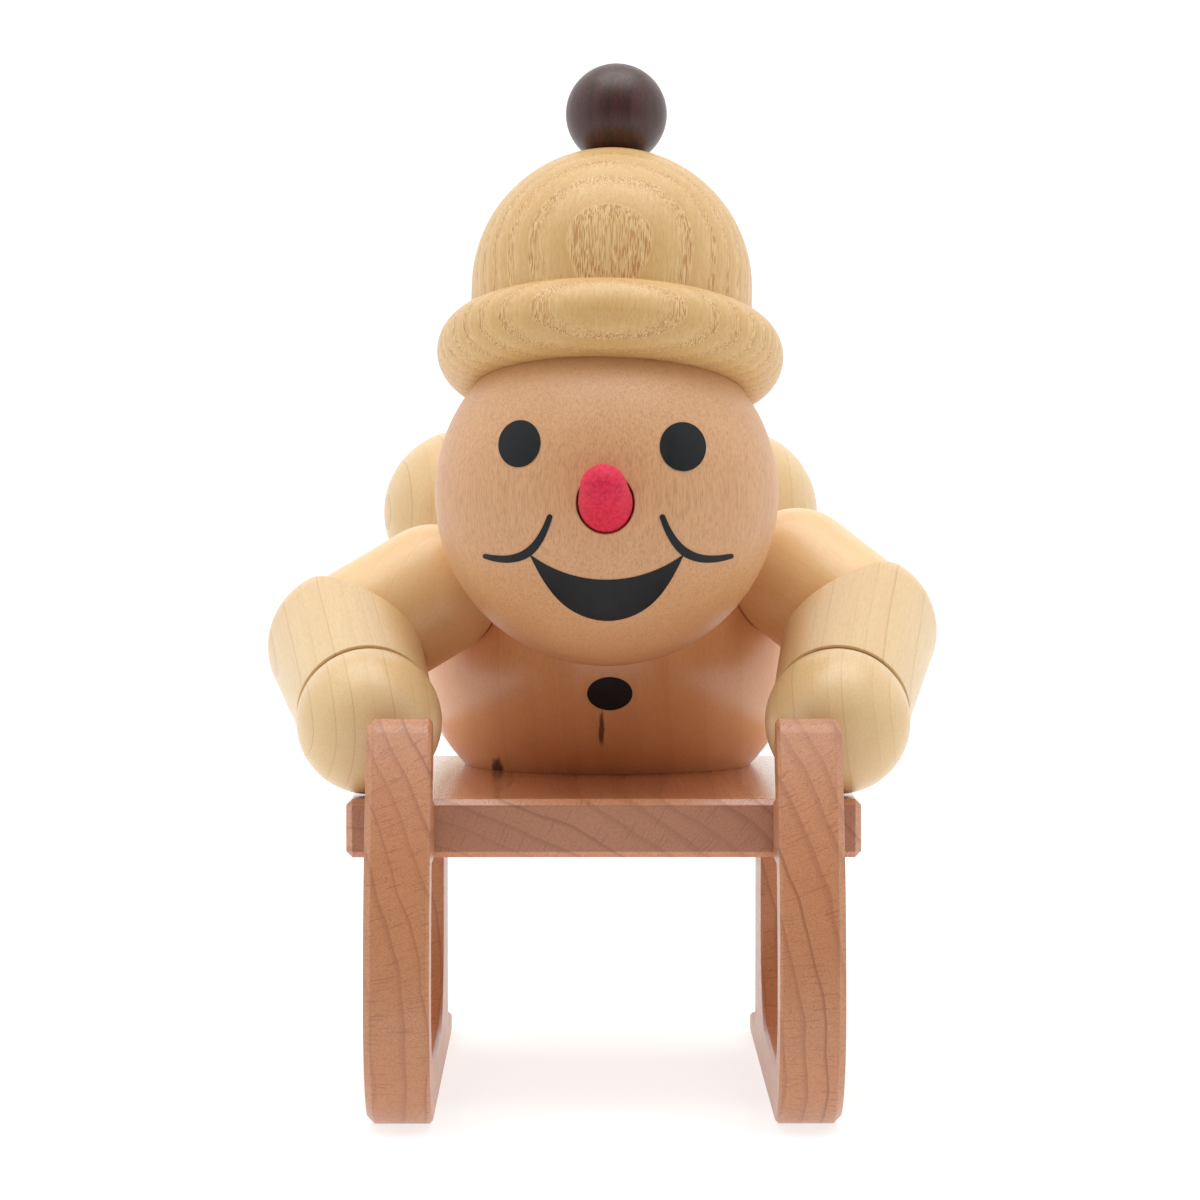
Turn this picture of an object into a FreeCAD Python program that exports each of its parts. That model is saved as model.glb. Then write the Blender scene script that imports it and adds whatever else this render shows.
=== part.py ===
import FreeCAD, Part
import math
import os

# Turned-wood snowman lying on its belly on a wooden sled, millimetres.
# +Z is up, the face looks along -Y, and the figure's left hand is on +X.
# The origin is on the ground under the middle of the sled.

os.makedirs("parts", exist_ok=True)

V = FreeCAD.Vector

# ---- sled -----------------------------------------------------------------
SLED_LENGTH = 90.0
RUNNER_INNER_X = 19.3
RUNNER_THICKNESS = 7.3
RUNNER_CHAMFER_OUTER = 0.8
RUNNER_CHAMFER_INNER = 0.35
HORN_ARC_RADIUS = 48.6          # outer face of the horn, seen from the side
HORN_DEPTH = 7.3                # thickness of the horn along its bend
HORN_TIP_ANGLE = 38.1           # where the horn's rounded tip begins, degrees
NOSE_ARC_RADIUS = 14.4          # bottom front corner of the runner
BAR_HEIGHT = 6.4                # ground bar of the runner
BAR_FRONT_CORNER = 8.0
BAR_REAR_CORNER = 12.0
POST_FRONT = 55.0               # distances behind the front of the sled
POST_REAR = 72.6
POST_FOOT_CORNER = 4.4
TAIL_HEIGHT = 2.6
SEAT_TOP = 36.1
SEAT_THICKNESS = 6.7
SEAT_FRONT = 20.0
SEAT_REAR = 86.0
SEAT_HALF_WIDTH = 29.4
SEAT_CHAMFER = 0.7
SEAT_BOTTOM = SEAT_TOP - SEAT_THICKNESS

# ---- figure ---------------------------------------------------------------
HEAD_RADIUS = 20.0
TORSO_RADIUS = 24.8
HAT_TILT = 15.0                 # hat leans back from the vertical, degrees
HAT_LEAN = 1.5                  # hat leans sideways, degrees
HAT_DOME_RADIUS = 16.5
HAT_DOME_CENTRE = 25.0          # along the hat's axis, from the head's centre
BRIM_TUBE_RADIUS = 4.6
BRIM_RING_RADIUS = 15.7
BRIM_CENTRE = 16.8
POMPOM_RADIUS = 6.0
POMPOM_CENTRE = 46.5
FACE_TURN = 2.5                 # the face looks slightly to the figure's right
NOSE_ACROSS = 0.6               # the nose's root, from the middle of the face
NOSE_UP = -0.45
NOSE_BASE_RADIUS = 3.05
NOSE_TIP_RADIUS = 2.6
NOSE_LENGTH = 8.2
NOSE_RISE = 18.0                # the nose points up, degrees
NOSE_HOLE_GAP = 0.25
NOSE_HOLE_DEPTH = 6.0
NOSE_HOLE_STEP = 2.0            # depth where the wide mouth of the hole ends
ARM_RADIUS = 8.1
ELBOW_RADIUS = 9.2
WRIST_RADIUS = 8.0
HAND_RADIUS = 8.4
HAND_CUP_PLANE = 3.6            # forearm end plane, from the hand's centre
HAND_SEAT_GAP = 0.1
LEG_RADIUS = 8.0
FOOT_RADIUS = 10.9
FOOT_BEHIND = 102.5
ANKLE_RADIUS = 7.4
FOOT_CUP_PLANE = 7.6
HIP_DOWEL_BACK = 10.0           # hip dowel's middle, from the knee
OVERALL_LENGTH = FOOT_BEHIND + FOOT_RADIUS

# ---- painted marks, on the face: across, up from the middle of the head -----
EYE_CENTRES = {"left": (9.25, 5.72), "right": (-9.25, 6.05)}
EYE_HALF_SIZES = {"left": (2.57, 2.78), "right": (2.45, 2.67)}      # width, height
EYE_SLANT = 14.0                # the eyes lean together at the top, degrees
SMILE_ACROSS = 0.65             # middle of the smile
MOUTH_CORNER = (8.75, -6.4)     # from the middle of the smile outwards
MOUTH_UPPER_LOW = -9.3
MOUTH_LOWER_EDGE = [(7.1, -9.6), (4.85, -12.3), (2.5, -13.65), (0.0, -14.1)]
CHEEK_LINE = [(6.35, -2.2), (7.45, -4.6), (8.85, -6.2), (10.6, -6.95), (12.4, -7.05), (14.0, -6.8)]
CHEEK_HALF_STROKES = [0.32, 0.42, 0.5, 0.45, 0.38, 0.28]
BUTTON_HALF_WIDTH = 2.73
BUTTON_HALF_HEIGHT = 2.12
BUTTON_SIDEWAYS = 0.003
BUTTON_DROP = 16.4              # below the horizontal on the torso, degrees

# ---- dowels: length on the near side of the joint, on the far side, radius ---
NECK_PEG = (9.0, 10.0, 3.0)
HAT_PEG = (7.0, 7.0, 2.5)
POMPOM_PEG = (5.0, 5.5, 1.5)
BODY_PEG = (4.0, 7.0, 2.0)
HORN_PEG = (5.0, 9.0, 1.5)
POST_PEG = (7.0, 4.5, 1.5)
SHOULDER_PEG = (14.0, 3.0, 2.0)
ELBOW_PEG = (4.5, 5.5, 2.0)
WRIST_PEG = (5.0, 6.0, 1.75)
HIP_PEG = (6.0, 4.0, 1.75)
KNEE_PEG = (5.0, 5.0, 1.75)
ANKLE_PEG = (5.0, 6.0, 1.75)
PEG_CHAMFER = 0.25              # of the dowel's radius
BODY_PEGS_BEHIND = (62.0, 78.0)
POST_PEGS_BEHIND = (59.5, 68.0)

# ---- fits -----------------------------------------------------------------
RUNNING_GAP = 0.05              # radial gap of a dowel that turns in its hole
CUP_GAP = 0.08                  # gap between a ball and the cup it turns in
DOWEL_END_GAP = 0.4
PAINT_THICKNESS = 0.06


def at(x, behind, z):
    """A point given by its distance behind the front of the sled."""
    return V(x, behind - OVERALL_LENGTH / 2, z)


HEAD = at(0.4, 33.0, 70.6)
TORSO = at(0.8, 73.0, 53.3)
HAND_BEHIND = 26.2
HAND_Z = SEAT_TOP + HAND_RADIUS + HAND_SEAT_GAP
HIP_X = 14.0
HIP_BEHIND = 86.0
KNEE_X = 15.5
KNEE_BEHIND = 102.5
KNEE_Z = 44.6
FOOT_X = 17.6
FOOT_Z = 66.9

# Each arm was set by hand, so the two sides differ by a millimetre or two.
# shoulder: centre of the domed end; seam: middle of the elbow's flat joint;
# elbow: centre of the forearm's round end; hand: centre of the ball.
ARMS = {
    "left": {
        "shoulder": at(23.65, 55.5, 60.4),
        "seam": at(29.5, 51.2, 55.8),
        "elbow": at(31.0, 49.6, 53.9),
        "hand": at(27.0, HAND_BEHIND, HAND_Z),
    },
    "right": {
        "shoulder": at(-20.5, 53.0, 58.5),
        "seam": at(-28.5, 51.0, 53.8),
        "elbow": at(-31.0, 49.3, 52.0),
        "hand": at(-27.0, HAND_BEHIND, HAND_Z),
    },
}
SHOULDER_OUT = V(0.93, -0.33, 0.15)            # left shoulder's dowel; mirrored on the right
ELBOW_SEAM_NORMAL = V(0.543, -0.49, -0.682)    # left elbow; mirrored on the right


def leg_points(sign):
    return {
        "hip": at(HIP_X * sign, HIP_BEHIND, KNEE_Z),
        "knee": at(KNEE_X * sign, KNEE_BEHIND, KNEE_Z),
        "foot": at(FOOT_X * sign, FOOT_BEHIND, FOOT_Z),
    }


LEGS = {"left": leg_points(1), "right": leg_points(-1)}
SIDE_SIGN = {"left": 1, "right": -1}


def unit(vector):
    result = V(vector)
    result.normalize()
    return result


def mirrored(vector, side):
    return V(vector.x * SIDE_SIGN[side], vector.y, vector.z)


def ball(centre, radius):
    return Part.makeSphere(radius, centre)


def rod(start, end, radius):
    return Part.makeCylinder(radius, (end - start).Length, start, end - start)


def taper(start, end, start_radius, end_radius):
    return Part.makeCone(start_radius, end_radius, (end - start).Length, start, end - start)


def half_space(point, normal):
    """A big block whose only near face passes through point; it lies on the
    side that normal points to."""
    size = 200.0
    block = Part.makeBox(size, size, size)
    centred = FreeCAD.Placement(V(-size / 2, -size / 2, 0), FreeCAD.Rotation())
    turned = FreeCAD.Placement(point, FreeCAD.Rotation(V(0, 0, 1), normal))
    block.Placement = turned.multiply(centred)
    return block


def aim(shape, point, axis):
    """Place a shape made around +Z so that its Z runs along axis from point."""
    shape.Placement = FreeCAD.Placement(point, FreeCAD.Rotation(V(0, 0, 1), axis))
    return shape


def arc(first, middle, last):
    return Part.Arc(first, middle, last).toShape()


def line(first, last):
    return Part.LineSegment(first, last).toShape()


class Dowel:
    """A round peg across a joint. Its start is glued in one piece, and its end
    is glued in the next, or turns in it when turning is true."""

    def __init__(self, joint, axis, peg, turning=False):
        axis = unit(axis)
        back, forward, radius = peg
        self.start = joint - axis * back
        self.end = joint + axis * forward
        self.axis = axis
        self.radius = radius
        self.end_gap = RUNNING_GAP if turning else 0.0

    def solid(self):
        chamfer = self.radius * PEG_CHAMFER
        peg = rod(self.start, self.end, self.radius)
        ends = [edge for edge in peg.Edges if isinstance(edge.Curve, Part.Circle)]
        return peg.makeChamfer(chamfer, ends)

    def start_hole(self):
        return rod(self.start - self.axis * DOWEL_END_GAP, self.end, self.radius)

    def end_hole(self):
        return rod(self.start, self.end + self.axis * DOWEL_END_GAP, self.radius + self.end_gap)


# ---- directions of the figure ---------------------------------------------
NECK_AXIS = unit(HEAD - TORSO)
HAT_AXIS = unit(V(
    math.sin(math.radians(HAT_LEAN)),
    math.sin(math.radians(HAT_TILT)),
    math.cos(math.radians(HAT_TILT)),
))
FACE = V(-math.sin(math.radians(FACE_TURN)), -math.cos(math.radians(FACE_TURN)), 0)
FACE_SIDE = V(math.cos(math.radians(FACE_TURN)), -math.sin(math.radians(FACE_TURN)), 0)
UP = V(0, 0, 1)


# ---- dowels ---------------------------------------------------------------
def arm_dowels(side):
    points = ARMS[side]
    forearm_axis = points["hand"] - points["elbow"]
    wrist = points["hand"] - unit(forearm_axis) * HAND_RADIUS
    return {
        "shoulder": Dowel(points["shoulder"], mirrored(SHOULDER_OUT, side), SHOULDER_PEG, True),
        "elbow": Dowel(points["seam"], mirrored(ELBOW_SEAM_NORMAL, side), ELBOW_PEG, True),
        "wrist": Dowel(wrist, forearm_axis, WRIST_PEG, True),
    }


def leg_dowels(side):
    points = LEGS[side]
    thigh_axis = unit(points["knee"] - points["hip"])
    shin_axis = unit(points["foot"] - points["knee"])
    mitre = thigh_axis + shin_axis
    hip = points["knee"] - thigh_axis * HIP_DOWEL_BACK
    ankle = points["foot"] - shin_axis * FOOT_RADIUS
    return {
        "hip": Dowel(hip, thigh_axis, HIP_PEG),
        "knee": Dowel(points["knee"], mitre, KNEE_PEG, True),
        "ankle": Dowel(ankle, shin_axis, ANKLE_PEG, True),
    }


ARM_DOWELS = {side: arm_dowels(side) for side in ARMS}
LEG_DOWELS = {side: leg_dowels(side) for side in LEGS}
NECK_DOWEL = Dowel(HEAD - NECK_AXIS * HEAD_RADIUS, NECK_AXIS, NECK_PEG, True)
HAT_DOWEL = Dowel(HEAD + HAT_AXIS * HEAD_RADIUS, HAT_AXIS, HAT_PEG)
POMPOM_DOWEL = Dowel(HEAD + HAT_AXIS * (POMPOM_CENTRE - POMPOM_RADIUS), HAT_AXIS, POMPOM_PEG)
BODY_DOWELS = [
    Dowel(at(0, behind, SEAT_TOP), UP, BODY_PEG)
    for behind in BODY_PEGS_BEHIND
]
HORN_DOWELS = [
    Dowel(at(side * (RUNNER_INNER_X + RUNNER_THICKNESS / 2), SEAT_FRONT, SEAT_TOP - SEAT_THICKNESS / 2),
          V(0, 1, 0), HORN_PEG)
    for side in (1, -1)
]
POST_DOWELS = [
    Dowel(at(side * (RUNNER_INNER_X + RUNNER_THICKNESS / 2), behind, SEAT_BOTTOM), UP, POST_PEG)
    for side in (1, -1)
    for behind in POST_PEGS_BEHIND
]
SEAT_DOWELS = HORN_DOWELS + POST_DOWELS


# ---- sled -----------------------------------------------------------------
def runner_outline():
    """Side view of a runner in the plane x = 0, going round from the ground
    bar's front: horn, shoulder under the seat's front, opening, post, tail."""
    centre_behind = HORN_ARC_RADIUS
    centre_z = NOSE_ARC_RADIUS
    rear_radius = HORN_ARC_RADIUS - HORN_DEPTH

    def on_arc(radius, angle):
        angle = math.radians(angle)
        return at(0, centre_behind - radius * math.cos(angle), centre_z + radius * math.sin(angle))

    def rear_angle(z):
        return math.degrees(math.asin((z - centre_z) / rear_radius))

    nose = NOSE_ARC_RADIUS
    nose_low = nose - nose * math.sqrt(0.5)
    corner = BAR_FRONT_CORNER
    corner_low = corner - corner * math.sqrt(0.5)
    big = BAR_REAR_CORNER
    big_low = big - big * math.sqrt(0.5)
    foot = POST_FOOT_CORNER
    foot_low = foot - foot * math.sqrt(0.5)
    tip = HORN_TIP_ANGLE
    middle_radius = HORN_ARC_RADIUS - HORN_DEPTH / 2
    tip_centre = on_arc(middle_radius, tip)
    tip_way = V(0, math.sin(math.radians(tip)), math.cos(math.radians(tip)))
    tip_top = tip_centre + tip_way * (HORN_DEPTH / 2)
    seat_angle = rear_angle(SEAT_TOP)
    shoulder_angle = rear_angle(SEAT_BOTTOM)
    horn_rear = HORN_DEPTH
    opening_corner = at(0, horn_rear + corner, BAR_HEIGHT)
    tail_round = TAIL_HEIGHT / 2

    edges = [
        arc(at(0, nose, 0), at(0, nose_low, nose_low), at(0, 0, nose)),
        arc(at(0, 0, nose), on_arc(HORN_ARC_RADIUS, tip / 2), on_arc(HORN_ARC_RADIUS, tip)),
        arc(on_arc(HORN_ARC_RADIUS, tip), tip_top, on_arc(rear_radius, tip)),
        arc(on_arc(rear_radius, tip), on_arc(rear_radius, (tip + seat_angle) / 2),
            on_arc(rear_radius, seat_angle)),
        line(on_arc(rear_radius, seat_angle), at(0, SEAT_FRONT, SEAT_TOP)),
        line(at(0, SEAT_FRONT, SEAT_TOP), at(0, SEAT_FRONT, SEAT_BOTTOM)),
        line(at(0, SEAT_FRONT, SEAT_BOTTOM), on_arc(rear_radius, shoulder_angle)),
        arc(on_arc(rear_radius, shoulder_angle), on_arc(rear_radius, shoulder_angle / 2),
            at(0, horn_rear, nose)),
        arc(at(0, horn_rear, nose),
            at(0, horn_rear + corner_low, BAR_HEIGHT + corner_low), opening_corner),
        line(opening_corner, at(0, POST_FRONT - big, BAR_HEIGHT)),
        arc(at(0, POST_FRONT - big, BAR_HEIGHT), at(0, POST_FRONT - big_low, BAR_HEIGHT + big_low),
            at(0, POST_FRONT, BAR_HEIGHT + big)),
        line(at(0, POST_FRONT, BAR_HEIGHT + big), at(0, POST_FRONT, SEAT_BOTTOM)),
        line(at(0, POST_FRONT, SEAT_BOTTOM), at(0, POST_REAR, SEAT_BOTTOM)),
        line(at(0, POST_REAR, SEAT_BOTTOM), at(0, POST_REAR, TAIL_HEIGHT + foot)),
        arc(at(0, POST_REAR, TAIL_HEIGHT + foot), at(0, POST_REAR + foot_low, TAIL_HEIGHT + foot_low),
            at(0, POST_REAR + foot, TAIL_HEIGHT)),
        line(at(0, POST_REAR + foot, TAIL_HEIGHT), at(0, SLED_LENGTH - tail_round, TAIL_HEIGHT)),
        arc(at(0, SLED_LENGTH - tail_round, TAIL_HEIGHT), at(0, SLED_LENGTH, tail_round),
            at(0, SLED_LENGTH - tail_round, 0)),
        line(at(0, SLED_LENGTH - tail_round, 0), at(0, nose, 0)),
    ]
    return Part.Wire(edges)


def rim_edges(solid, x):
    """The edges of a plate that lie in the plane at x."""
    return [
        edge for edge in solid.Edges
        if all(abs(vertex.Point.x - x) < 1e-4 for vertex in edge.Vertexes)
    ]


def runner(side):
    sign = SIDE_SIGN[side]
    plate = Part.Face(runner_outline()).extrude(V(sign * RUNNER_THICKNESS, 0, 0))
    plate.translate(V(sign * RUNNER_INNER_X, 0, 0))
    outer_x = sign * (RUNNER_INNER_X + RUNNER_THICKNESS)
    plate = plate.makeChamfer(RUNNER_CHAMFER_OUTER, rim_edges(plate, outer_x))
    plate = plate.makeChamfer(RUNNER_CHAMFER_INNER, rim_edges(plate, sign * RUNNER_INNER_X))
    for dowel in SEAT_DOWELS:
        if dowel.start.x * sign > 0:
            plate = plate.cut(dowel.start_hole())
    return plate


def seat_board():
    board = Part.makeBox(
        SEAT_HALF_WIDTH * 2, SEAT_REAR - SEAT_FRONT, SEAT_THICKNESS,
        at(-SEAT_HALF_WIDTH, SEAT_FRONT, SEAT_BOTTOM))
    board = board.makeChamfer(SEAT_CHAMFER, board.Edges)
    for dowel in SEAT_DOWELS:
        board = board.cut(dowel.end_hole())
    for dowel in BODY_DOWELS:
        board = board.cut(dowel.start_hole())
    return board


# ---- body and head --------------------------------------------------------
def torso_ball():
    return ball(TORSO, TORSO_RADIUS)


def shoulder_cup(side):
    """The room an upper arm takes in the side of the torso."""
    points = ARMS[side]
    radius = ARM_RADIUS + CUP_GAP
    return ball(points["shoulder"], radius).fuse(rod(points["shoulder"], points["seam"], radius))


def torso():
    body = torso_ball()
    body = body.cut(ball(HEAD, HEAD_RADIUS + CUP_GAP))
    body = body.cut(half_space(V(0, 0, SEAT_TOP), UP * -1))
    for side in ARMS:
        body = body.cut(shoulder_cup(side))
        body = body.cut(ARM_DOWELS[side]["shoulder"].start_hole())
        body = body.cut(LEG_DOWELS[side]["hip"].start_hole())
    for dowel in BODY_DOWELS:
        body = body.cut(dowel.end_hole())
    return body.cut(NECK_DOWEL.start_hole())


def face_point(across, up):
    """A point on the head's surface in front of the given place on the face."""
    forward = math.sqrt(HEAD_RADIUS ** 2 - across ** 2 - up ** 2)
    return HEAD + FACE_SIDE * across + UP * up + FACE * forward


NOSE_ROOT = face_point(NOSE_ACROSS, NOSE_UP)
NOSE_AXIS = unit(FACE * math.cos(math.radians(NOSE_RISE)) + UP * math.sin(math.radians(NOSE_RISE)))


def nose_hole():
    """A stepped hole: a wide mouth round the nose and a snug bottom."""
    mouth_end = NOSE_ROOT + NOSE_AXIS * NOSE_BASE_RADIUS
    mouth_start = NOSE_ROOT - NOSE_AXIS * NOSE_HOLE_STEP
    bottom = NOSE_ROOT - NOSE_AXIS * NOSE_HOLE_DEPTH
    mouth = rod(mouth_start, mouth_end, NOSE_BASE_RADIUS + NOSE_HOLE_GAP)
    return mouth.fuse(rod(bottom, mouth_start, NOSE_BASE_RADIUS))


def nose():
    """A round-tipped peg that tapers from the hole to its tip."""
    bottom = NOSE_ROOT - NOSE_AXIS * NOSE_HOLE_DEPTH
    tip = NOSE_ROOT + NOSE_AXIS * (NOSE_LENGTH - NOSE_TIP_RADIUS)
    shank = rod(bottom, NOSE_ROOT, NOSE_BASE_RADIUS)
    cone = taper(NOSE_ROOT, tip, NOSE_BASE_RADIUS, NOSE_TIP_RADIUS)
    return shank.fuse([cone, ball(tip, NOSE_TIP_RADIUS)]).removeSplitter()


def head():
    sphere = ball(HEAD, HEAD_RADIUS)
    sphere = sphere.cut(nose_hole())
    sphere = sphere.cut(NECK_DOWEL.end_hole())
    return sphere.cut(HAT_DOWEL.start_hole())


def hat():
    """Domed cap with a rolled brim, hollowed to sit on the head."""
    dome_centre = HEAD + HAT_AXIS * HAT_DOME_CENTRE
    brim_centre = HEAD + HAT_AXIS * BRIM_CENTRE
    dome = ball(dome_centre, HAT_DOME_RADIUS)
    wall = rod(brim_centre, dome_centre, HAT_DOME_RADIUS)
    brim = aim(Part.makeTorus(BRIM_RING_RADIUS, BRIM_TUBE_RADIUS), brim_centre, HAT_AXIS)
    cap = dome.fuse([wall, brim]).removeSplitter()
    cap = cap.cut(ball(HEAD, HEAD_RADIUS))
    cap = cap.cut(ball(HEAD + HAT_AXIS * POMPOM_CENTRE, POMPOM_RADIUS))
    cap = cap.cut(HAT_DOWEL.end_hole())
    return cap.cut(POMPOM_DOWEL.start_hole())


def pompom():
    return ball(HEAD + HAT_AXIS * POMPOM_CENTRE, POMPOM_RADIUS).cut(POMPOM_DOWEL.end_hole())


# ---- painted marks --------------------------------------------------------
def face_plane(across, up):
    """The place on the face, moved well in front of the head."""
    return HEAD + FACE_SIDE * across + UP * up + FACE * (HEAD_RADIUS * 2)


def film(face, way, centre, radius):
    """A thin layer of paint: the outline pushed through onto a ball."""
    column = face.extrude(way * (radius * 2))
    skin = ball(centre, radius + PAINT_THICKNESS).cut(ball(centre, radius))
    return column.common(skin)


def oval(centre, half_height, half_width, height_way, normal):
    """A flat elliptical face, its long axis along height_way."""
    long_way = unit(height_way)
    ellipse = Part.Ellipse(V(0, 0, 0), max(half_height, half_width), min(half_height, half_width))
    face = Part.Face(Part.Wire(ellipse.toShape()))
    along = long_way if half_height >= half_width else normal.cross(long_way)
    face.Placement = FreeCAD.Placement(centre, FreeCAD.Rotation(along, normal.cross(along), normal, "XYZ"))
    return face


def eye_paint(side):
    slant = math.radians(EYE_SLANT) * -SIDE_SIGN[side]
    height_way = UP * math.cos(slant) + FACE_SIDE * math.sin(slant)
    half_width, half_height = EYE_HALF_SIZES[side]
    outline = oval(face_plane(*EYE_CENTRES[side]), half_height, half_width, height_way, FACE * -1)
    return film(outline, FACE * -1, HEAD, HEAD_RADIUS)


def smooth_line(points):
    curve = Part.BSplineCurve()
    curve.interpolate(points)
    return curve.toShape()


def smile_point(offset, up, sign):
    """A point of the smile's flat outline, offset from the smile's middle to one side."""
    return face_plane(SMILE_ACROSS + offset * sign, up)


def mouth_outline():
    right, left = (smile_point(*MOUTH_CORNER, sign) for sign in (-1, 1))
    left_half = [smile_point(*point, 1) for point in MOUTH_LOWER_EDGE]
    right_half = [smile_point(*point, -1) for point in MOUTH_LOWER_EDGE[:-1]]
    upper = arc(right, smile_point(0, MOUTH_UPPER_LOW, 1), left)
    lower = smooth_line([left] + left_half + right_half[::-1] + [right])
    return Part.Face(Part.Wire([upper, lower]))


def cheek_outline(sign):
    """A brush stroke: a band of changing width along a line, with round ends."""
    middles = [smile_point(*point, sign) for point in CHEEK_LINE]
    ways = [
        unit(middles[min(index + 1, len(middles) - 1)] - middles[max(index - 1, 0)])
        for index in range(len(middles))
    ]
    steps = [way.cross(FACE) * half for way, half in zip(ways, CHEEK_HALF_STROKES)]
    upper = [middle + step for middle, step in zip(middles, steps)]
    lower = [middle - step for middle, step in zip(middles, steps)]
    start_round = middles[0] - ways[0] * CHEEK_HALF_STROKES[0]
    end_round = middles[-1] + ways[-1] * CHEEK_HALF_STROKES[-1]
    edges = [
        smooth_line(upper),
        arc(upper[-1], end_round, lower[-1]),
        smooth_line(lower[::-1]),
        arc(lower[0], start_round, upper[0]),
    ]
    return Part.Face(Part.Wire(edges))


def smile_paint():
    outlines = [mouth_outline(), cheek_outline(1), cheek_outline(-1)]
    films = [film(outline, FACE * -1, HEAD, HEAD_RADIUS) for outline in outlines]
    return films[0].fuse(films[1:]).removeSplitter()


def button_paint():
    drop = math.radians(BUTTON_DROP)
    outward = V(BUTTON_SIDEWAYS, -math.cos(drop), -math.sin(drop))
    outward.normalize()
    height_way = unit(UP - outward * UP.dot(outward))
    centre = TORSO + outward * (TORSO_RADIUS * 1.5)
    outline = oval(centre, BUTTON_HALF_HEIGHT, BUTTON_HALF_WIDTH, height_way, outward * -1)
    return film(outline, outward * -1, TORSO, TORSO_RADIUS)


# ---- arms -----------------------------------------------------------------
def upper_arm(side):
    points = ARMS[side]
    dowels = ARM_DOWELS[side]
    axis = unit(points["seam"] - points["shoulder"])
    beyond = points["seam"] + axis * ARM_RADIUS
    arm = rod(points["shoulder"], beyond, ARM_RADIUS).fuse(ball(points["shoulder"], ARM_RADIUS))
    arm = arm.removeSplitter()
    arm = arm.cut(half_space(points["seam"], mirrored(ELBOW_SEAM_NORMAL, side)))
    arm = arm.cut(dowels["shoulder"].end_hole())
    return arm.cut(dowels["elbow"].start_hole())


def forearm(side):
    points = ARMS[side]
    dowels = ARM_DOWELS[side]
    axis = unit(points["hand"] - points["elbow"])
    wrist = points["hand"] - axis * HAND_CUP_PLANE
    arm = taper(points["elbow"], wrist, ELBOW_RADIUS, WRIST_RADIUS)
    arm = arm.fuse(ball(points["elbow"], ELBOW_RADIUS)).removeSplitter()
    arm = arm.cut(half_space(points["seam"], mirrored(ELBOW_SEAM_NORMAL, side) * -1))
    arm = arm.cut(half_space(wrist, axis))
    arm = arm.cut(ball(points["hand"], HAND_RADIUS + CUP_GAP))
    arm = arm.cut(dowels["elbow"].end_hole())
    return arm.cut(dowels["wrist"].start_hole())


def hand(side):
    return ball(ARMS[side]["hand"], HAND_RADIUS).cut(ARM_DOWELS[side]["wrist"].end_hole())


# ---- legs -----------------------------------------------------------------
def knee_mitre(side):
    points = LEGS[side]
    return unit(unit(points["knee"] - points["hip"]) + unit(points["foot"] - points["knee"]))


def thigh(side):
    points = LEGS[side]
    dowels = LEG_DOWELS[side]
    leg = rod(points["hip"], points["knee"], LEG_RADIUS).fuse(ball(points["knee"], LEG_RADIUS))
    leg = leg.removeSplitter()
    leg = leg.cut(half_space(points["knee"], knee_mitre(side)))
    leg = leg.cut(torso_ball())
    leg = leg.cut(dowels["hip"].end_hole())
    return leg.cut(dowels["knee"].start_hole())


def shin(side):
    points = LEGS[side]
    dowels = LEG_DOWELS[side]
    axis = unit(points["foot"] - points["knee"])
    ankle = points["foot"] - axis * FOOT_CUP_PLANE
    leg = taper(points["knee"], ankle, LEG_RADIUS, ANKLE_RADIUS)
    leg = leg.fuse(ball(points["knee"], LEG_RADIUS)).removeSplitter()
    leg = leg.cut(half_space(points["knee"], knee_mitre(side) * -1))
    leg = leg.cut(ball(points["foot"], FOOT_RADIUS + CUP_GAP))
    leg = leg.cut(dowels["knee"].end_hole())
    return leg.cut(dowels["ankle"].start_hole())


def foot(side):
    return ball(LEGS[side]["foot"], FOOT_RADIUS).cut(LEG_DOWELS[side]["ankle"].end_hole())


# ---- all the pieces -------------------------------------------------------
def pieces():
    nodes = {
        "seat_board": seat_board(),
        "seat_dowels": Part.makeCompound([dowel.solid() for dowel in SEAT_DOWELS]),
        "body_dowels": Part.makeCompound([dowel.solid() for dowel in BODY_DOWELS]),
        "torso": torso(),
        "neck_dowel": NECK_DOWEL.solid(),
        "head": head(),
        "nose": nose(),
        "hat": hat(),
        "hat_dowel": HAT_DOWEL.solid(),
        "pompom": pompom(),
        "pompom_dowel": POMPOM_DOWEL.solid(),
        "smile_paint": smile_paint(),
        "button_paint": button_paint(),
    }
    for side in ("left", "right"):
        nodes["runner_" + side] = runner(side)
        nodes["eye_paint_" + side] = eye_paint(side)
        nodes["upper_arm_" + side] = upper_arm(side)
        nodes["forearm_" + side] = forearm(side)
        nodes["hand_" + side] = hand(side)
        nodes["thigh_" + side] = thigh(side)
        nodes["shin_" + side] = shin(side)
        nodes["foot_" + side] = foot(side)
        for name, dowel in {**ARM_DOWELS[side], **LEG_DOWELS[side]}.items():
            nodes[name + "_dowel_" + side] = dowel.solid()
    return nodes


for node_name, node_shape in pieces().items():
    node_shape.exportStep("parts/" + node_name + ".step")
    box = node_shape.BoundBox
    print(node_name, len(node_shape.Solids), round(node_shape.Volume, 2), node_shape.isValid(),
          [round(value, 1) for value in (box.XMin, box.XMax, box.YMin, box.YMax, box.ZMin, box.ZMax)])
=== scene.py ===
"""Looks for the turned-wood snowman lying on its sled: woods, paint, light and camera.

Everything is in metres in the frame of the CAD model: +Z up, the face looks along -Y.
Wood is a solid texture. Each piece has its own place in a tree, so growth rings, fibres
and pores run through it and show on every face as they would after turning.
"""
import math

import bmesh
import bpy
from mathutils import Matrix, Vector


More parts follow.
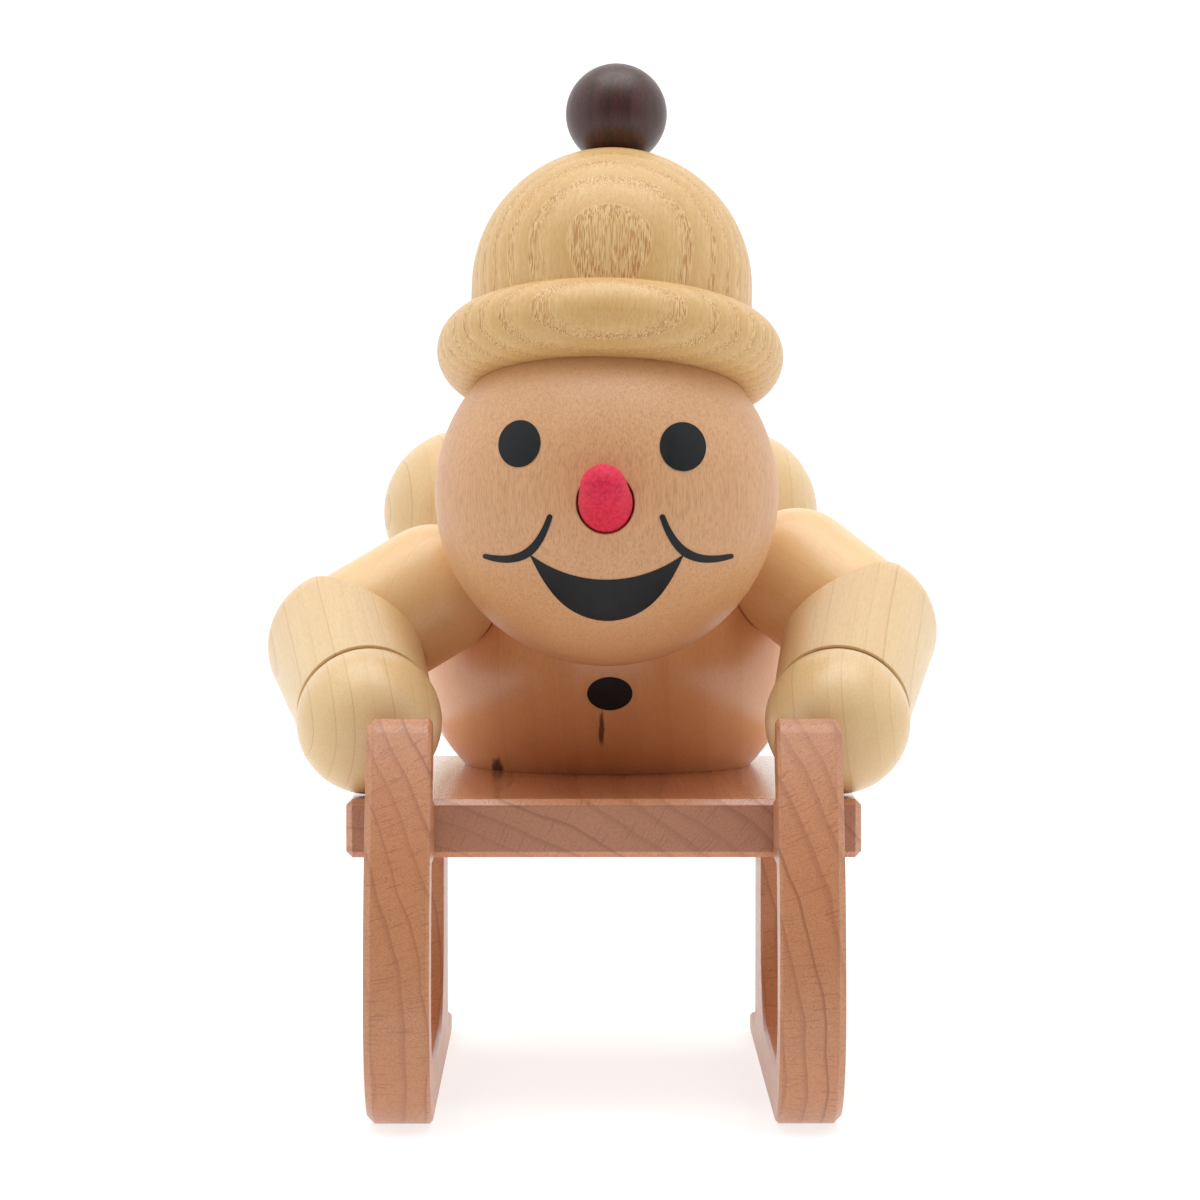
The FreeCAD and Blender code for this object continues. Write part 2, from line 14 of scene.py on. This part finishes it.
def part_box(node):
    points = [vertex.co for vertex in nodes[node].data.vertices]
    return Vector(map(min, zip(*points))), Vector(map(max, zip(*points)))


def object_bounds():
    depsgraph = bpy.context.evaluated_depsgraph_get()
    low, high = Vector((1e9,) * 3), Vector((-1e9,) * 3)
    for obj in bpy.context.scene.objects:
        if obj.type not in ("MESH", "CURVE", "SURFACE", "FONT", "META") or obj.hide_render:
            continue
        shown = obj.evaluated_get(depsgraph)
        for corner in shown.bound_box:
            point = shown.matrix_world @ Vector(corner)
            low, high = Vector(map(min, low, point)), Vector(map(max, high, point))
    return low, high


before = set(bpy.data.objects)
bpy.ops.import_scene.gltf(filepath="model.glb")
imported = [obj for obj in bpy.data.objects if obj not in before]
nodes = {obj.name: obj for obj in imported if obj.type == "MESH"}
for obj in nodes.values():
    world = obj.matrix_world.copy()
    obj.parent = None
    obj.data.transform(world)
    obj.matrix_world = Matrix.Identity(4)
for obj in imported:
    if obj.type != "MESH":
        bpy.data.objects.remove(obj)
cad_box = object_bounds()
scene = bpy.context.scene

MM = 0.001
UP = Vector((0, 0, 1))
ALONG = Vector((0, 1, 0))
ACROSS = Vector((1, 0, 0))
SIDES = (("left", 1), ("right", -1))
WHITE = (1, 1, 1, 1)
MIDDLE = (0.5, 0.5, 0.5)                    # the mean of a noise's three channels

# ---- edges and bump, in mm --------------------------------------------------
WOOD_EDGE = 0.25                            # radius that the corners of wood are softened by
PAINT_EDGE = 0.03
STAIN_EDGE = 0.10
PAPER_EDGE = 0.10
BRUSH_DEPTH = 0.008                         # bump of the black paint
STAIN_DEPTH = 0.020
WARM_GLOW = (0.004, 0.0012, 0.0004)         # metres that red, green and blue travel in wood

# ---- features per mm across, across and along the fibres ---------------------
RING_WAVES = (0.10, 0.10, 0.025)
FIBRES = (2.6, 2.6, 0.06)
FLECKS = (6.0, 6.0, 0.6)
SMALL_PORES = (9.0, 9.0, 0.9)
EARLY_PORES = (8.0, 8.0, 0.55)
PATCHES = (0.16, 0.16, 0.05)
RAYS = (5.5, 0.30, 1.1)                     # here around, outwards and along
RING_WIDTHS = 0.28                          # changes of ring width per mm outwards
RAGGED = (1.5, 1.5, 1.5)                    # per half size of a dark mark

# ---- growth rings -----------------------------------------------------------
LINE_PEAK = 0.15                            # darkest this share of the line from the ring's end
FAINTEST_LINE = 0.35
PATCH_STRENGTH = 0.22
FIBRE_HEIGHT = -0.35                        # both in shares of the bump's depth
PORE_HEIGHT = 0.8

# ---- paints -----------------------------------------------------------------
KNOT = (84, 38, 20)
BLACK = (14, 16, 18)
WORN_BLACK = (28, 31, 34)
CRIMSON = (222, 44, 76)
DEEP_CRIMSON = (198, 28, 60)
DARK_SPECK = (140, 18, 44)

# ---- which way the trees run --------------------------------------------------
HAT_TILT = 0.084                            # leans the rings so that their oval is in front
HAT_PITH = 95.2                             # so far behind, the dome cuts through few rings
RUNNER_TILT = Vector((0.97, 0, 0.24))
RUNNER_PITH = 64.0
PITH_STEP = 3.0                             # keeps the left piece from matching the right one

# ---- studio -----------------------------------------------------------------
FLOOR_HALF = 6.0
FLOOR_CELLS = 8
FLOOR_NEAR_GLOW = ((0.36, 0.36, 0.36, 1), 0.74)  # colour and painted glow (light the floor gives off) under the object
FLOOR_FAR_GLOW = ((0.30, 0.30, 0.30, 1), 0.28)   # the same far in front: greyer, with less painted glow
FLOOR_FADE = (-0.10, -0.60)                 # Y where the floor starts and ends changing
WORLD_FADE = (-1.0, -0.25)                  # Y of the directions where light grows
WORLD_FRONT = 0.14
WORLD_REST = 1.1
SOFTBOX_PLACE = Vector((0.0, -0.05, 1.1))
SOFTBOX_SIZE = (1.1, 0.8)
SOFTBOX_POWER = 6.4
LENS = 137.25
SENSOR = 36.0
CAMERA_DISTANCE = 500.0                     # mm from the front of the sled
CAMERA_ACROSS = -2.7
CAMERA_HEIGHT = 81.0
CAMERA_PITCH = math.radians(2.44)
CAMERA_YAW = math.radians(0.25)


def centre_of(node):
    low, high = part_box(node)
    return (low + high) / 2


def srgb(red, green, blue):
    """A colour given as 0 to 255 screen values, as linear light."""
    def linear(value):
        value /= 255
        return value / 12.92 if value <= 0.04045 else ((value + 0.055) / 1.055) ** 2.4
    return (linear(red), linear(green), linear(blue), 1.0)


# ---- node graphs ------------------------------------------------------------
class Graph:
    """Empties the node tree of a material or a world, adds nodes to it and links them."""

    def __init__(self, owner):
        owner.use_nodes = True
        self.tree = owner.node_tree
        self.tree.nodes.clear()

    def node(self, kind, inputs=None, **settings):
        made = self.tree.nodes.new(kind)
        for name, value in settings.items():
            setattr(made, name, value)
        for key, value in (inputs or {}).items():
            self.feed(made.inputs[key], value)
        return made

    def feed(self, socket, value):
        if isinstance(value, bpy.types.NodeSocket):
            self.tree.links.new(value, socket)
        else:
            socket.default_value = value

    def math(self, operation, *values):
        return self.node("ShaderNodeMath", dict(enumerate(values)), operation=operation).outputs[0]

    def vector(self, operation, *values):
        made = self.node("ShaderNodeVectorMath", dict(enumerate(values)), operation=operation)
        return made.outputs["Value" if operation in ("LENGTH", "DOT_PRODUCT") else "Vector"]

    def local(self, origin=(0, 0, 0), unit=(MM, MM, MM), turn=(0, 0, 0)):
        """The piece's own coordinates, counted in units from an origin, along turned axes."""
        here = self.node("ShaderNodeTexCoord").outputs["Object"]
        return self.node("ShaderNodeMapping", {
            "Vector": here, "Location": origin, "Rotation": turn, "Scale": unit},
            vector_type="TEXTURE").outputs[0]

    def noise(self, vector, features, detail=2.0, roughness=0.5, output="Fac"):
        """Smooth noise; features are how many there are per unit each way."""
        made = self.node("ShaderNodeTexNoise", {
            "Vector": self.vector("MULTIPLY", vector, features),
            "Scale": 1.0, "Detail": detail, "Roughness": roughness})
        return made.outputs[output]

    def ramp(self, value, low, high, out_low=0.0, out_high=1.0):
        """Goes smoothly from out_low to out_high as value goes from low to high."""
        numbers = dict(enumerate((value, low, high, out_low, out_high)))
        return self.node("ShaderNodeMapRange", numbers, interpolation_type="SMOOTHSTEP").outputs[0]

    def mix(self, factor, first, second):
        """A colour between two; sockets 6, 7 and 2 are the node's colour sockets."""
        return self.node("ShaderNodeMix", {0: factor, 6: first, 7: second}, data_type="RGBA").outputs[2]

    def shade(self, colour, roughness, height, depth, edge, coat=0.0, coat_roughness=0.3,
              specular=0.5, glow=0.0):
        """The surface: bump of the given depth, corners softened by edge, both in mm."""
        soft_edges = self.node("ShaderNodeBevel", {"Radius": edge * MM}, samples=6)
        bump = self.node("ShaderNodeBump", {
            "Strength": 1.0, "Distance": depth * MM, "Height": height,
            "Normal": soft_edges.outputs[0]})
        surface = self.node("ShaderNodeBsdfPrincipled", {
            "Base Color": colour, "Roughness": roughness, "Normal": bump.outputs[0],
            "Specular IOR Level": specular, "Coat Weight": coat, "Coat Roughness": coat_roughness,
            "Coat Normal": bump.outputs[0],
            "Subsurface Weight": glow, "Subsurface Radius": WARM_GLOW, "Subsurface Scale": 1.0})
        self.node("ShaderNodeOutputMaterial", {"Surface": surface.outputs[0]})
        return surface


def new_material(name):
    material = bpy.data.materials.new(name)
    return material, Graph(material)


# ---- woods ------------------------------------------------------------------
# light, dark, deep: the ground colour and its two darker tones; spacing: width of a growth
# ring; irregular: how much the widths vary; warp: waviness; line, line_width: how dark the
# ring's edge is, and its share of the ring; band: how much the ring darkens outwards;
# early_pores, pores, flecks, fibres, rays, end_grain: how strong they are; depth: of the
# bump; coat: clear lacquer; glow: light spread inside. Lengths are in mm.
MAPLE = dict(
    light=srgb(227, 197, 146), dark=srgb(209, 167, 112), deep=srgb(166, 112, 62),
    spacing=2.2, irregular=0.9, warp=0.6, line=0.42, line_width=0.10, band=0.10,
    early_pores=0.0, pores=0.12, flecks=0.08, fibres=0.10, rays=0.04, end_grain=0.0,
    roughness=0.36, depth=0.008, coat=0.25, coat_roughness=0.25, glow=0.12)
PLAIN_MAPLE = dict(MAPLE, light=srgb(241, 205, 150), dark=srgb(229, 180, 116), line=0.10, pores=0.05)
WARM_MAPLE = dict(MAPLE, light=srgb(238, 184, 129), dark=srgb(219, 150, 92), line=0.06, spacing=4.0,
                  coat=0.6)
FLECKED = dict(
    light=srgb(217, 167, 120), dark=srgb(197, 144, 98), deep=srgb(152, 100, 62),
    spacing=9.0, irregular=1.2, warp=1.2, line=0.06, line_width=0.3, band=0.06,
    early_pores=0.0, pores=0.22, flecks=0.30, fibres=0.30, rays=0.06, end_grain=0.0,
    roughness=0.44, depth=0.010, coat=0.12, coat_roughness=0.3, glow=0.05)
ASH = dict(
    light=srgb(231, 199, 141), dark=srgb(208, 164, 99), deep=srgb(182, 116, 50),
    spacing=1.95, irregular=0.12, warp=0.30, line=0.16, line_width=0.12, band=0.60,
    early_pores=0.85, pores=0.25, flecks=0.14, fibres=0.55, rays=0.02, end_grain=0.0,
    roughness=0.40, depth=0.025, coat=0.12, coat_roughness=0.3, glow=0.0)
MAHOGANY = dict(
    light=srgb(82, 42, 34), dark=srgb(50, 24, 20), deep=srgb(26, 11, 9),
    spacing=2.2, irregular=0.8, warp=0.8, line=0.35, line_width=0.4, band=0.4,
    early_pores=0.0, pores=0.5, flecks=0.3, fibres=0.45, rays=0.0, end_grain=0.0,
    roughness=0.36, depth=0.015, coat=0.10, coat_roughness=0.3, glow=0.0)
BEECH = dict(
    light=srgb(200, 138, 97), dark=srgb(174, 110, 72), deep=srgb(130, 74, 46),
    spacing=2.7, irregular=0.9, warp=1.1, line=0.70, line_width=0.32, band=0.10,
    early_pores=0.0, pores=0.45, flecks=0.14, fibres=0.30, rays=0.32, end_grain=0.0,
    roughness=0.40, depth=0.006, coat=0.28, coat_roughness=0.3, glow=0.0)
GLOSSY_BEECH = dict(BEECH, light=srgb(218, 150, 106), dark=srgb(190, 122, 82), coat=1.0,
                    coat_roughness=0.14, end_grain=0.45)
DOWEL_WOOD = dict(BEECH, light=srgb(214, 180, 140), dark=srgb(186, 146, 106), rays=0.2, coat=0.0)


def growth_rings(graph, place, species):
    """How far through its growth ring a point is (0 to 1), a random number for the
    ring, the distance from the tree's middle, and the gently bent coordinates."""
    wave = graph.vector("SUBTRACT", graph.noise(place, RING_WAVES, detail=1.5, output="Color"), MIDDLE)
    reach = 2 * species["warp"]
    bent = graph.vector("ADD", place, graph.vector("MULTIPLY", wave, (reach, reach, 0)))
    radius = graph.vector("LENGTH", graph.vector("MULTIPLY", bent, (1, 1, 0)))
    width_noise = graph.node("ShaderNodeTexNoise", {
        "W": graph.math("MULTIPLY", radius, RING_WIDTHS), "Scale": 1.0, "Detail": 1.0},
        noise_dimensions="1D").outputs[0]
    ring = graph.math("DIVIDE", radius, species["spacing"])
    ring = graph.math("ADD", ring, graph.math("MULTIPLY", width_noise, species["irregular"]))
    ring_random = graph.node("ShaderNodeTexWhiteNoise", {"W": graph.math("FLOOR", ring)},
                             noise_dimensions="1D").outputs["Value"]
    return graph.math("FRACT", ring), ring_random, radius, bent


def ring_lines(graph, phase, ring_random, width):
    """The dark line at the end of a growth ring, which some rings show less than others."""
    start, peak = 1 - width, 1 - width * LINE_PEAK
    line = graph.math("MULTIPLY", graph.ramp(phase, start, peak), graph.ramp(phase, 1.0, peak))
    return graph.math("MULTIPLY", line, graph.ramp(ring_random, 0.0, 1.0, FAINTEST_LINE, 1.0))


def wood_rays(graph, bent, radius, pith):
    """Thin marks of the rays that run from the tree's middle outwards."""
    split = graph.node("ShaderNodeSeparateXYZ", {"Vector": bent}).outputs
    around = graph.math("MULTIPLY", graph.math("ARCTAN2", split["Y"], split["X"]), pith)
    unrolled = graph.node("ShaderNodeCombineXYZ", {"X": around, "Y": radius, "Z": split["Z"]})
    return graph.ramp(graph.noise(unrolled.outputs[0], RAYS, detail=0.0), 0.66, 0.73)


def large_early_pores(graph, place, phase):
    """The coarse pores of the wood that grew first in each ring."""
    early = graph.math("MULTIPLY", graph.ramp(phase, 0.62, 0.12), graph.ramp(phase, -0.02, 0.06))
    return graph.math("MULTIPLY", graph.ramp(graph.noise(place, EARLY_PORES, detail=0.5), 0.50, 0.60),
                      early)


def cut_ends(graph, grain, strength):
    """How much a face cuts across the fibres, where the wood looks darker."""
    normal = graph.node("ShaderNodeTexCoord").outputs["Normal"]
    facing = graph.math("ABSOLUTE", graph.vector("DOT_PRODUCT", normal, grain))
    return graph.ramp(facing, 0.6, 0.95, 0.0, strength)


def dark_mark(graph, colour, place, half_size, strength):
    """A dark streak or knot round the given point of the piece, soft and ragged."""
    near = graph.local(place, half_size)
    ragged = graph.vector("ADD", near, graph.noise(near, RAGGED, output="Color"))
    away = graph.vector("LENGTH", graph.vector("SUBTRACT", ragged, MIDDLE))
    return graph.mix(graph.ramp(away, 1.0, 0.45, 0.0, strength), colour, srgb(*KNOT))


def wood(name, species, point, grain, outward, pith, marks=()):
    """A wood material for one piece. point is in the piece, grain is the way its fibres
    run, and outward points away from the tree's middle, which is pith mm from point."""
    material, graph = new_material(name)
    grain = grain.normalized()
    outward = (outward - grain * outward.dot(grain)).normalized()
    tree_axes = Matrix((outward, grain.cross(outward), grain)).transposed()
    place = graph.local(point - outward * pith * MM, turn=tree_axes.to_euler())
    phase, ring_random, radius, bent = growth_rings(graph, place, species)
    fibre = graph.noise(place, FIBRES, detail=3.0, roughness=0.6)
    fleck = graph.noise(place, FLECKS, detail=1.0)
    pore = graph.ramp(graph.noise(place, SMALL_PORES, detail=0.0), 0.60, 0.68)
    patch = graph.noise(place, PATCHES, detail=2.0)
    small_pores = graph.math("MULTIPLY", pore, species["pores"])

    layers = [
        (graph.math("MULTIPLY", graph.ramp(phase, 0.25, 0.9), species["band"]), "dark"),
        (graph.math("MULTIPLY", ring_lines(graph, phase, ring_random, species["line_width"]),
                    species["line"]), "deep"),
        (graph.ramp(fibre, 0.30, 0.70, 0.0, species["fibres"]), "dark"),
        (graph.ramp(fleck, 0.46, 0.68, 0.0, species["flecks"]), "deep"),
        (graph.math("MULTIPLY", wood_rays(graph, bent, radius, pith), species["rays"]), "deep"),
        (small_pores, "deep")]
    height = graph.math("MULTIPLY", fibre, FIBRE_HEIGHT)
    height = graph.math("SUBTRACT", height, graph.math("MULTIPLY", small_pores, PORE_HEIGHT))
    if species["early_pores"]:
        early_pores = graph.math("MULTIPLY", large_early_pores(graph, place, phase),
                                 species["early_pores"])
        layers.append((early_pores, "deep"))
        height = graph.math("SUBTRACT", height, early_pores)
    layers.append((graph.ramp(patch, 0.3, 0.7, 0.0, PATCH_STRENGTH), "dark"))
    if species["end_grain"]:
        layers.append((cut_ends(graph, grain, species["end_grain"]), "deep"))

    colour = species["light"]
    for amount, tone in layers:
        colour = graph.mix(amount, colour, species[tone])
    for mark in marks:
        colour = dark_mark(graph, colour, *mark)
    roughness = graph.ramp(fibre, 0.2, 0.8, species["roughness"] - 0.05, species["roughness"] + 0.06)
    graph.shade(colour, roughness, height, species["depth"], WOOD_EDGE, species["coat"],
                species["coat_roughness"], glow=species["glow"])
    return material


# ---- paints -----------------------------------------------------------------
def black_paint():
    """Brushed black enamel, slightly uneven, so its sheen is mottled."""
    material, graph = new_material("black_paint")
    place = graph.local()
    cloud = graph.noise(place, (0.7, 0.7, 0.5), detail=2.0)
    brush = graph.noise(place, (7.0, 7.0, 1.0), detail=1.0)
    colour = graph.mix(cloud, srgb(*BLACK), srgb(*WORN_BLACK))
    roughness = graph.ramp(cloud, 0.3, 0.7, 0.30, 0.55)
    graph.shade(colour, roughness, brush, BRUSH_DEPTH, PAINT_EDGE, specular=0.25)
    return material


def red_stain():
    """Crimson stain on wood: matt, with the grain showing as darker streaks."""
    material, graph = new_material("red_stain")
    place = graph.local()
    streak = graph.noise(place, (3.0, 0.5, 3.0), detail=3.0)
    speck = graph.ramp(graph.noise(place, (6.0, 2.0, 6.0), detail=1.0), 0.60, 0.70, 0.0, 0.15)
    colour = graph.mix(graph.ramp(streak, 0.35, 0.7), srgb(*CRIMSON), srgb(*DEEP_CRIMSON))
    colour = graph.mix(speck, colour, srgb(*DARK_SPECK))
    graph.shade(colour, 0.62, streak, STAIN_DEPTH, STAIN_EDGE, specular=0.3)
    return material


# ---- which wood goes where ---------------------------------------------------
def dress(node, material):
    node_object = nodes[node]
    node_object.data.materials.clear()
    node_object.data.materials.append(material)


def dress_in_wood(node, name, species, grain, outward, pith, marks=()):
    dress(node, wood(name, species, centre_of(node), grain, outward, pith, marks))


def dress_head():
    hat_grain = (centre_of("pompom") - centre_of("head")).normalized() + ALONG * HAT_TILT
    dress_in_wood("hat", "ash_hat", ASH, hat_grain, Vector((-0.02, -1, 0.0)), HAT_PITH)
    dress_in_wood("head", "maple_head", FLECKED, UP, Vector((0.3, -1, 0)), 70.0)
    dress_in_wood("pompom", "mahogany_pompom", MAHOGANY, UP, Vector((1, -0.4, 0)), 30.0)
    dress("nose", red_stain())


def dress_torso():
    """Warm maple with a dark streak below the button and a knot at the seat."""
    marks = (
        (Vector((-0.1, -5.8, 42.0)) * MM, Vector((0.45, 4.0, 2.8)) * MM, 0.85),
        (Vector((-12.8, 4.1, 36.6)) * MM, Vector((1.0, 4.0, 1.9)) * MM, 0.95))
    dress_in_wood("torso", "maple_torso", WARM_MAPLE, UP, Vector((1, 0.2, 0)), 55.0, marks)


def dress_sled():
    dress_in_wood("seat_board", "beech_seat", GLOSSY_BEECH, ALONG, Vector((0.5, 0, 0.87)), 70.0)
    for side, sign in SIDES:
        dress_in_wood("runner_" + side, "beech_runner_" + side, BEECH, ALONG, RUNNER_TILT,
                      RUNNER_PITH + 5 * sign)


def dress_limbs():
    for side, sign in SIDES:
        forward = Vector((-0.15 * sign, -0.9, -0.4))
        for part, species, grain, outward, pith in (
                ("upper_arm", PLAIN_MAPLE, Vector((0.7 * sign, -0.5, -0.5)), ACROSS + UP * 0.5, 40.0),
                ("forearm", MAPLE, forward, ACROSS, 48.0),
                ("hand", MAPLE, forward, ACROSS + UP * 0.1 * sign, 44.0),
                ("thigh", MAPLE, ALONG, ACROSS, 42.0),
                ("shin", MAPLE, UP, ACROSS, 46.0),
                ("foot", MAPLE, UP, ACROSS + ALONG * 0.3, 50.0)):
            node = part + "_" + side
            dress_in_wood(node, "maple_" + node, species, grain, outward, pith + PITH_STEP * sign)


def dress_alike(material, word):
    """Gives one material to every node that has the word in its name."""
    for node in nodes:
        if word in node:
            dress(node, material)


# ---- studio -----------------------------------------------------------------
def add_floor():
    """A wide pale sheet, level, under the object, that glows as painted light from below; far in front
    it gets a little greyer and glows less.
    """
    sheet = bmesh.new()
    bmesh.ops.create_grid(sheet, x_segments=FLOOR_CELLS, y_segments=FLOOR_CELLS, size=FLOOR_HALF)
    mesh = bpy.data.meshes.new("floor")
    sheet.to_mesh(mesh)
    sheet.free()
    floor = bpy.data.objects.new("floor", mesh)
    scene.collection.objects.link(floor)
    material, graph = new_material("floor_sheet_painted_glow")
    place = graph.node("ShaderNodeTexCoord").outputs["Object"]
    along = graph.node("ShaderNodeSeparateXYZ", {"Vector": place}).outputs["Y"]
    far = graph.ramp(along, *FLOOR_FADE)
    colour = graph.mix(far, FLOOR_NEAR_GLOW[0], FLOOR_FAR_GLOW[0])
    glowing_sheet = graph.shade(colour, 0.9, 0.0, 0.0, PAPER_EDGE, specular=0.1)
    # The sheet glows: painted light that lights the object from below and fills its shadow on the
    # floor; the glow fades far in front, which leaves the object's front darker.
    graph.feed(glowing_sheet.inputs["Emission Color"], WHITE)
    graph.feed(glowing_sheet.inputs["Emission Strength"],
               graph.ramp(far, 0.0, 1.0, FLOOR_NEAR_GLOW[1], FLOOR_FAR_GLOW[1]))
    mesh.materials.append(material)


def add_softbox():
    """A wide soft light overhead, aimed at the middle of the object."""
    light = bpy.data.lights.new("overhead", "AREA")
    light.shape = "RECTANGLE"
    light.size, light.size_y = SOFTBOX_SIZE
    light.energy = SOFTBOX_POWER
    holder = bpy.data.objects.new("overhead", light)
    aim = (cad_box[0] + cad_box[1]) / 2
    holder.location = SOFTBOX_PLACE
    holder.rotation_euler = (aim - SOFTBOX_PLACE).to_track_quat("-Z", "Y").to_euler()
    scene.collection.objects.link(holder)


def add_world():
    """Soft light from all round, weaker from in front of the face."""
    world = bpy.data.worlds.new("studio")
    graph = Graph(world)
    direction = graph.node("ShaderNodeTexCoord").outputs["Generated"]
    along = graph.node("ShaderNodeSeparateXYZ", {"Vector": direction}).outputs["Y"]
    background = graph.node("ShaderNodeBackground", {
        "Color": WHITE, "Strength": graph.ramp(along, *WORLD_FADE, WORLD_FRONT, WORLD_REST)})
    graph.node("ShaderNodeOutputWorld", {"Surface": background.outputs[0]})
    scene.world = world


def add_camera():
    """A long lens at the height of the head, looking very slightly down."""
    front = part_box("runner_left")[0].y
    data = bpy.data.cameras.new("camera")
    data.lens = LENS
    data.sensor_width = SENSOR
    camera = bpy.data.objects.new("camera", data)
    camera.location = (CAMERA_ACROSS * MM, front - CAMERA_DISTANCE * MM, CAMERA_HEIGHT * MM)
    camera.rotation_euler = (math.pi / 2 - CAMERA_PITCH, 0, -CAMERA_YAW)
    scene.collection.objects.link(camera)
    scene.camera = camera


dress_head()
dress_torso()
dress_sled()
dress_limbs()
dress_alike(black_paint(), "_paint")
dress_alike(wood("dowel_wood", DOWEL_WOOD, Vector((0, 0, 0)), UP, ACROSS, 40.0), "dowel")

add_floor()
add_world()
add_softbox()
add_camera()
scene.view_settings.view_transform = "Standard"
scene.cycles.diffuse_bounces = 8
